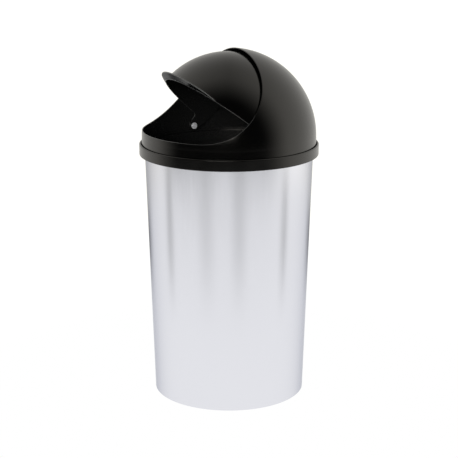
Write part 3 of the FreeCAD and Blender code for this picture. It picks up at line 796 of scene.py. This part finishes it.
def crossing(inside, outside, radius):
    """Where the way between two side-view points leaves the dome."""
    for _ in range(HALVINGS):
        middle = (inside + outside) / 2
        if (middle - DOME_CENTRE).length < radius:
            inside = middle
        else:
            outside = middle
    return inside


def eased(path, count):
    """Points along a path, closer together towards its ends."""
    lengths = [(after - here).length for here, after in zip(path, path[1:])]
    points = []
    for number in range(count + 1):
        reach = sum(lengths) * (1 - math.cos(math.pi * number / count)) / 2
        leg = 0
        while leg < len(lengths) - 1 and reach > lengths[leg]:
            reach -= lengths[leg]
            leg += 1
        points.append(path[leg].lerp(path[leg + 1], min(1, reach / lengths[leg])))
    return points


def on_dome(point, centre, radius):
    """The direction from a dome's centre to a side-view point on its right half."""
    flat = point - centre
    return (flat + math.sqrt(max(0, radius ** 2 - flat.length_squared)) * SIDEWAYS).normalized()


def mirrored(point):
    return Vector((-point.x, point.y, point.z))


def looped(right):
    """A closed loop of directions, from its right half, which starts and ends in the middle plane."""
    return right + [mirrored(direction) for direction in right[-2:0:-1]]


def mouth_rim():
    """Directions to the mouth's edge, from the front up the right side, over the crown and back."""
    outline = mouth_outline()
    reaches = [(point - DOME_CENTRE).length for point in outline]
    inside = [number for number, reach in enumerate(reaches) if reach < HOOD_RADIUS]
    first, last = inside[0], inside[-1]
    path = [crossing(outline[first], outline[first - 1], HOOD_RADIUS)]
    path += outline[first:last + 1] + [crossing(outline[last], outline[last + 1], HOOD_RADIUS)]
    return looped([on_dome(point, DOME_CENTRE, HOOD_RADIUS) for point in eased(path, RIM_STEPS)])


def edgeways(rim):
    """Directions across a closed rim, level with the shell, to the left of the way round."""
    around = zip(rim[-1:] + rim[:-1], rim, rim[1:] + rim[:1])
    return [here.cross(after - before).normalized() for before, here, after in around]


def rounded_end(wall):
    """A wall's rounded end, from its outer to its inner face: how far out, and how deep."""
    outer = arc((-LID_EDGE, LID_EDGE), LID_EDGE, -QUARTER_TURN, 0, EDGE_STEP)
    return outer + arc((-LID_EDGE, wall - LID_EDGE), LID_EDGE, 0, QUARTER_TURN, EDGE_STEP)


def edge_strip(centre, rim, outward, radius, wall):
    """The rounded edge of a dome's wall, along a rim of directions."""
    section = rounded_end(wall)
    strip = []
    for direction, out in zip(rim, outward):
        places = [(radius - depth, direction + along / radius * out) for along, depth in section]
        strip.append([centre + reach * place.normalized() for reach, place in places])
    return strip


def set_back(rim, outward, radius):
    """Directions to where the rounding of a rim starts."""
    return [(direction - LID_EDGE / radius * out).normalized() for direction, out in zip(rim, outward)]


def two_faces(centre, rows, radius, wall):
    """The outer and the inner face of a dome's wall, from rows of directions."""
    faces = []
    for reach in (radius, radius - wall):
        faces.append([[centre + reach * direction for direction in row] for row in rows])
    return faces


def hood_skirt(foot):
    """The section of the hood below its dome, in one direction."""
    section = [DOME_CENTRE + HOOD_RADIUS * foot]
    for along, depth in rounded_end(HOOD_WALL):
        section.append((HOOD_SKIRT_RADIUS - depth) * foot + (COLLAR_FLOOR_Z - along) * UP)
    return section + [DOME_CENTRE + (HOOD_RADIUS - HOOD_WALL) * foot]


def hood_shell():
    """The dome with its mouth, from ribs that run up from its foot to the mouth's edge."""
    rim = mouth_rim()
    outward = edgeways(rim)
    tops = set_back(rim, outward, HOOD_RADIUS)
    turns = [FULL_TURN * number / len(rim) for number in range(len(rim))]
    feet = [Vector((math.sin(turn), -math.cos(turn), 0)) for turn in turns]
    shares = [row / RIB_ROWS for row in range(RIB_ROWS + 1)]
    ribs = [[foot.slerp(top, share) for share in shares] for foot, top in zip(feet, tops)]
    sheets = two_faces(DOME_CENTRE, ribs, HOOD_RADIUS, HOOD_WALL)
    sheets.append(edge_strip(DOME_CENTRE, rim, outward, HOOD_RADIUS, HOOD_WALL))
    sheets.append([hood_skirt(foot) for foot in feet])
    return skinned([rows + rows[:1] for rows in sheets])


def make_hood():
    boss_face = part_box("friction_washer_right")[1].x
    wall_middle = HOOD_RADIUS - HOOD_WALL / 2
    bosses = [pivot_rod(side, BOSS_RADIUS, boss_face, wall_middle) for side in SIDES.values()]
    inner_blocks = [softened(boss, SMALL_EDGE) for boss in bosses] + [stop_rib()]
    shell = combined(hood_shell(), "UNION", joined(inner_blocks))
    hole_end = HOOD_RADIUS - SCREW_HOLE_SKIN
    holes = [pivot_rod(side, SCREW_HOLE_RADIUS, boss_face - MM, hole_end) for side in SIDES.values()]
    return combined(shell, "DIFFERENCE", joined(holes))


def stop_rib():
    """A block inside the back of the hood, sunk halfway into its wall, where the open visor stops."""
    half = STOP_WIDTH / 2
    rib = block((-half, STOP_FRONT_Y, STOP_LOW_Z), (half, HOOD_SKIRT_RADIUS, STOP_LOW_Z + STOP_HEIGHT))
    profile = [(0, COLLAR_FLOOR_Z)] + dome_profile(HOOD_WALL / 2, COLLAR_FLOOR_Z)
    rib = softened(rib, SMALL_EDGE)
    return combined(rib, "INTERSECT", turned([radial(*point) for point in profile]))


def ball(radius):
    """A closed sphere about the dome's centre, with its poles at the front and back."""
    section = arc((0, 0), radius, HALF_TURN, 0)
    points = [DOME_CENTRE + along * BACKWARD + out * UP for along, out in section]
    return turned(points, DOME_CENTRE, BACKWARD)


def rear_edge_back(height):
    """How far back the shut visor's rear edge lies at a height over the pivot."""
    lean = math.tan(VISOR_REAR_LEAN)
    return MOUTH_CROWN_BACK + VISOR_REAR_OVERLAP + (height - VISOR_RADIUS) * lean


def visor_rows():
    """Rows of directions across the shut visor, front to rear, from its middle out to the right ear."""
    rise = SHUT_EDGE_Z - SHUT_CENTRE.z
    rear_back = rear_edge_back(SHUT_CENTRE.z - PIVOT.z) - SHUT_CENTRE.y
    ear_root = math.hypot(rear_edge_back(SHUT_EDGE_Z - PIVOT.z) - SHUT_CENTRE.y, rise)
    columns = range(VISOR_COLUMNS + 1)
    rows = []
    for number in range(VISOR_STEPS + 1):
        turn = math.acos(ear_root / VISOR_RADIUS) * number / VISOR_STEPS
        reach = VISOR_RADIUS * math.cos(turn)
        front = HALF_TURN - math.asin(rise / reach)
        rear = math.acos(rear_back * math.cos(VISOR_REAR_LEAN) / reach) - VISOR_REAR_LEAN
        angles = [front + (rear - front) * column / VISOR_COLUMNS for column in columns]
        points = [on_circle((0, 0), math.cos(turn), angle) for angle in angles]
        rows.append([Vector((math.sin(turn), *point)) for point in points])
    return rows


def ear_rim():
    """Directions along the right ear's edge, from the front of the visor to the rear."""
    fillet = (-EAR_RADIUS - EAR_FILLET, SHUT_EDGE_Z - EAR_FILLET)
    points = arc(fillet, EAR_FILLET, QUARTER_TURN, 0, EAR_FILLET_STEP)
    points += arc((0, PIVOT.z), EAR_RADIUS, HALF_TURN, FULL_TURN, EAR_STEP)
    return [on_dome(side_view(*point), SHUT_CENTRE, VISOR_RADIUS) for point in points]


def visor_shell():
    """The shut visor's dome with its ears."""
    rows = visor_rows()
    right = [row[0] for row in rows] + ear_rim() + [row[-1] for row in reversed(rows)]
    outward = [-across for across in edgeways(looped(right))]
    ends = set_back(right, outward, VISOR_RADIUS)
    for row, front, rear in zip(rows, ends, reversed(ends)):
        row[0], row[-1] = front, rear
    ear_edge = ends[VISOR_STEPS:-VISOR_STEPS] + rows[-1][-2::-1]
    ear_middle = on_dome(side_view(0, SHUT_EDGE_Z + EAR_FAN_RISE), SHUT_CENTRE, VISOR_RADIUS)
    shares = [row / FAN_ROWS for row in range(FAN_ROWS + 1)]
    ear = [[direction.slerp(ear_middle, share) for direction in ear_edge] for share in shares]
    half = [edge_strip(SHUT_CENTRE, right, outward, VISOR_RADIUS, VISOR_WALL)]
    for directions in (rows, ear):
        half += two_faces(SHUT_CENTRE, directions, VISOR_RADIUS, VISOR_WALL)
    return skinned(half + [[[mirrored(point) for point in row] for row in sheet] for sheet in half])


def lip_rise(distance, bend_round):
    """How far the lip's under or upper face has risen at a distance from the bend's centre."""
    past = distance - LIP_BEND_ARC + LIP_BEND_ROUND * math.tan(LIP_TURN_UP / 2)
    bend = bend_round * math.sin(LIP_TURN_UP)
    if past <= 0:
        return 0
    if past <= bend:
        return bend_round - math.sqrt(bend_round ** 2 - past ** 2)
    return bend_round * (1 - math.cos(LIP_TURN_UP)) + (past - bend) * math.tan(LIP_TURN_UP)


def lip_taper(bearing):
    """The share of the lip's height at a bearing. Its tips run out into the visor's edge."""
    past = (abs(bearing) - LIP_TAPERS_FROM) / (LIP_TAPERS_TO - LIP_TAPERS_FROM)
    past = min(1, max(0, past))
    return 1 - (1 - LIP_TIP_SHARE) * past ** 2 * (3 - 2 * past)


def lip_section(bearing):
    """The shut pull lip's section at a bearing from its outer arc's centre."""
    ahead = Vector((math.sin(bearing), -math.cos(bearing), 0))
    centre = Vector((0, LIP_CENTRE_Y, 0))
    bend_centre = Vector((0, LIP_BEND_CENTRE_Y, 0))
    root = LIP_OUTER_ARC - LIP_REACH - LIP_ROOT
    reaches = [root + (LIP_OUTER_ARC - LID_EDGE - root) * step / LIP_STEPS for step in range(LIP_STEPS)]
    outline = [(reach, 0) for reach in reaches]
    outline += [(LIP_OUTER_ARC + along, depth) for along, depth in rounded_end(LIP_THICKNESS)]
    outline += [(reach, LIP_THICKNESS) for reach in reversed(reaches)]
    section = []
    for reach, depth in outline + outline[:1]:
        place = centre + reach * ahead
        distance = (place - bend_centre).length
        under = lip_rise(distance, LIP_BEND_ROUND)
        over = LIP_THICKNESS + lip_rise(distance, LIP_BEND_ROUND - LIP_THICKNESS)
        height = over + (under - over) * depth / LIP_THICKNESS
        section.append(place + (SHUT_EDGE_Z + LIP_RISE + lip_taper(bearing) * height) * UP)
    return section


def make_pull_lip():
    """A crescent along the visor's front edge, which turns up past a bend."""
    sections = [lip_section(LIP_SPREAD * (2 * row / LIP_ROWS - 1)) for row in range(LIP_ROWS + 1)]
    ends = [sections[0], sections[-1]]
    first, last = [[sum(end, ORIGIN) / len(end)] * len(end) for end in ends]
    return skinned([[first] + sections + [last]])


def opened(mesh):
    """Turns what is drawn shut up to where the visor stands."""
    bmesh.ops.rotate(mesh, verts=mesh.verts, cent=PIVOT, matrix=OPENING_TURN)
    return mesh


def make_visor():
    shell = opened(visor_shell())
    ear_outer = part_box("friction_washer_right")[0].x - EAR_END_PLAY
    ear_inner = ear_outer - EAR_PAD_LENGTH
    pads = [pivot_rod(side, EAR_PAD_RADIUS, ear_inner, ear_outer) for side in SIDES.values()]
    shell = combined(shell, "UNION", joined([softened(pad, SMALL_EDGE) for pad in pads]))
    bores = [pivot_rod(side, EAR_BORE_RADIUS, ear_inner - MM, ear_outer + MM) for side in SIDES.values()]
    shell = combined(shell, "DIFFERENCE", joined(bores))
    lip = combined(opened(make_pull_lip()), "DIFFERENCE", ball(VISOR_RADIUS - VISOR_WALL / 2))
    return combined(shell, "UNION", lip)


def pivot_span(node):
    """How far a pivot node's two ends lie from the middle plane, and its radius about the axis."""
    low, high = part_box(node)
    near, far = sorted((abs(low.x), abs(high.x)))
    return near, far, (high.z - low.z) / 2


def pivot_ring(side, node, inner):
    """A washer or bush: a ring about the pivot axis in the box of its node."""
    near, far, outer = pivot_span(node)
    ring = pivot_turned(side, [(near, inner), (near, outer), (far, outer), (far, inner)])
    return softened(ring, PIVOT_EDGE, segments=FEW_SEGMENTS)


def make_pivot_spring(side, node):
    """A cone-shaped spring washer round the bush."""
    near, far, outer = pivot_span(node)
    inner = BUSH_RADIUS + SPRING_CLEARANCE
    profile = [(near, inner), (far - SPRING_SHEET, outer), (far, outer), (near + SPRING_SHEET, inner)]
    return softened(pivot_turned(side, profile), SPRING_EDGE, segments=FEW_SEGMENTS)


def make_pivot_screw(side, node):
    """A pan-head screw with a cross recess, its head inwards."""
    near, far, _ = pivot_span(node)
    seat = near + SCREW_HEAD_HEIGHT
    edge_centre = (near + SCREW_HEAD_EDGE, SCREW_HEAD_RADIUS - SCREW_HEAD_EDGE)
    profile = [(near, 0)]
    profile += arc(edge_centre, SCREW_HEAD_EDGE, HALF_TURN, QUARTER_TURN)
    profile += [(seat, SCREW_HEAD_RADIUS), (seat, SCREW_RADIUS), (far, SCREW_RADIUS), (far, 0)]
    screw = pivot_turned(side, profile)
    top = PIVOT + side * near * SIDEWAYS
    slots = []
    for length, height in [(RECESS_LENGTH, RECESS_WIDTH), (RECESS_WIDTH, RECESS_LENGTH)]:
        reach = Vector((RECESS_DEPTH, length / 2, height / 2))
        slots.append(block(top - reach, top + reach))
    cross = combined(slots[0], "UNION", slots[1])
    return softened(combined(screw, "DIFFERENCE", cross), PIVOT_EDGE, SHARPER, FEW_SEGMENTS)


def dress():
    """Makes every piece in place of its CAD node."""
    piece("drum", make_drum(), "bin", "brushed_steel", ["body_shell"])
    piece("floor_pan", make_base_pan(), "bin", "brushed_steel", ["base_pan"])
    for corner in CORNERS:
        piece("rubber_foot_" + corner, make_foot(corner), "bin", "foot_rubber", ["foot_" + corner])
    piece("collar_ring", make_collar(), "collar", "black_plastic", ["collar"])
    piece("bag_ring", make_bag_hoop(), "collar", "black_plastic", ["bag_hoop"])
    piece("hood_dome", make_hood(), "hood", "black_plastic", ["hood"])
    piece("visor_dome", make_visor(), "visor", "black_plastic", ["visor"])
    for name, side in SIDES.items():
        dress_pivot(name, side)


def dress_pivot(name, side):
    """Makes the five pieces of one side's pivot."""
    screw = "pivot_screw_" + name
    spring = "pivot_spring_" + name
    piece("screw_" + name, make_pivot_screw(side, screw), "hood", "plated_steel", [screw])
    piece("spring_" + name, make_pivot_spring(side, spring), "hood", "plated_steel", [spring])
    screw_clear = SCREW_RADIUS + SCREW_CLEARANCE
    rings = [
        ("pivot_washer_", "plated_steel", screw_clear),
        ("pivot_bush_", "plated_steel", screw_clear),
        ("friction_washer_", "white_nylon", EAR_BORE_RADIUS),
    ]
    for node, slot, inner in rings:
        ring = pivot_ring(side, node + name, inner)
        piece(node + name + "_ring", ring, "hood", slot, [node + name])


def make_floor():
    """A white floor that fades into its white surroundings."""

    def faded(field):
        distance = field.vector_math("LENGTH", field.place(), output="Value")
        return {"Alpha": distance.ramp(1.0, 0.0, FLOOR_FADES_FROM, FLOOR_RADIUS)}

    mesh = bmesh.new()
    bmesh.ops.create_circle(mesh, cap_ends=True, segments=FLOOR_STEPS, radius=FLOOR_RADIUS)
    floor = bpy.data.objects.new("floor", as_mesh("floor", mesh))
    bpy.context.scene.collection.objects.link(floor)
    glowing = {
        "Base Color": (*BLACK, 1),
        "Specular IOR Level": 0.0,
        "Emission Color": (*WHITE, 1),
        "Emission Strength": 1.0,
    }
    floor.data.materials.append(surface("floor_paper", glowing, faded))


def floor_light(bearing, up):
    """What reflections see of the floor: white, with darker gaps at some bearings."""
    spread = abs(bearing)
    light = FLOOR_BEYOND - spread.ramp(0.0, BEHIND_DARKER, *BEHIND_BEARINGS)
    light = light - spread.ramp(0.0, FAR_DARKER, *FAR_BEARINGS) * up.ramp(1.0, 0.0, *FAR_HEIGHTS)
    for centre, half_width, depth in DARK_BANDS:
        light = light - abs(bearing - centre).ramp(depth, 0.0, 0.0, 2 * half_width)
    return light


def room_light(right, toward, bearing, up):
    """What reflections see of the room: a dark front, light sides, and a glow beside the camera."""
    leaning = toward - FRONT_LEAN * right
    sides = ROOM_LIGHT + SIDE_LIGHT * abs(right) + RIGHT_LIGHT * right
    glow = abs(bearing - GLOW_BEARING).ramp(GLOW_STRENGTH, 0.0, *GLOW_BEARINGS)
    glow = glow * up.ramp(0.0, 1.0, *GLOW_LOW_HEIGHTS) * up.ramp(1.0, 0.0, *GLOW_HIGH_HEIGHTS)
    return leaning.ramp(1.0, FRONT_DARKEST, *FRONT_SLOPES) * sides + glow


def make_studio():
    """White surroundings for the camera, and a floor and a room for reflections."""
    world = bpy.data.worlds.new("studio")
    bpy.context.scene.world = world
    world.use_nodes = True
    tree = world.node_tree
    field = Field(tree)
    direction = field.node("ShaderNodeTexCoord", output="Generated")
    inputs = {"Vector": direction, "Rotation": (0, 0, -CAMERA_AZIMUTH)}
    seen = field.node("ShaderNodeMapping", {"vector_type": "POINT"}, inputs)
    right, toward, up = seen.part("X"), -1.0 * seen.part("Y"), seen.part("Z")
    bearing = right.math("DEGREES", right.math("ARCTAN2", right, toward))
    low = up.ramp(1.0, 0.0, *HORIZON_HEIGHTS)
    light = low * floor_light(bearing, up) + (1 - low) * room_light(right, toward, bearing, up)
    for_camera = field.node("ShaderNodeLightPath", output="Is Camera Ray")
    shown = light * (1 - for_camera) + CAMERA_SEES * for_camera
    background = tree.nodes["Background"]
    tree.links.new(shown.socket, background.inputs["Strength"])
    tree.links.new(low.mixed(WARM_WHITE, WHITE).socket, background.inputs["Color"])


def make_mouth_light():
    """A wide, low strip light behind the camera that shines into the mouth."""
    lamp = bpy.data.lights.new("mouth_light", "AREA")
    lamp.shape = "RECTANGLE"
    lamp.size = MOUTH_LIGHT_WIDTH
    lamp.size_y = MOUTH_LIGHT_DEPTH
    lamp.energy = MOUTH_LIGHT_POWER
    light = bpy.data.objects.new("mouth_light", lamp)
    bpy.context.scene.collection.objects.link(light)
    light.visible_glossy = False
    bearing = CAMERA_AZIMUTH + math.radians(GLOW_BEARING)
    away = MOUTH_LIGHT_DISTANCE * Vector((math.sin(bearing), -math.cos(bearing), 0))
    light.location = away + MOUTH_LIGHT_HEIGHT * UP
    aim = PIVOT - light.location
    light.rotation_euler = aim.to_track_quat("-Z", "Y").to_euler()


def make_camera():
    camera = bpy.data.objects.new("camera", bpy.data.cameras.new("camera"))
    bpy.context.scene.collection.objects.link(camera)
    camera.data.lens = CAMERA_LENS
    camera.data.sensor_width = CAMERA_SENSOR
    away = CAMERA_DISTANCE * Vector((math.sin(CAMERA_AZIMUTH), -math.cos(CAMERA_AZIMUTH), 0))
    camera.location = away + CAMERA_HEIGHT * UP
    camera.rotation_euler = (QUARTER_TURN - CAMERA_PITCH, 0, CAMERA_AZIMUTH)
    bpy.context.scene.camera = camera


dress()
make_floor()
make_studio()
make_mouth_light()
make_camera()
bpy.context.scene.view_settings.view_transform = "Standard"
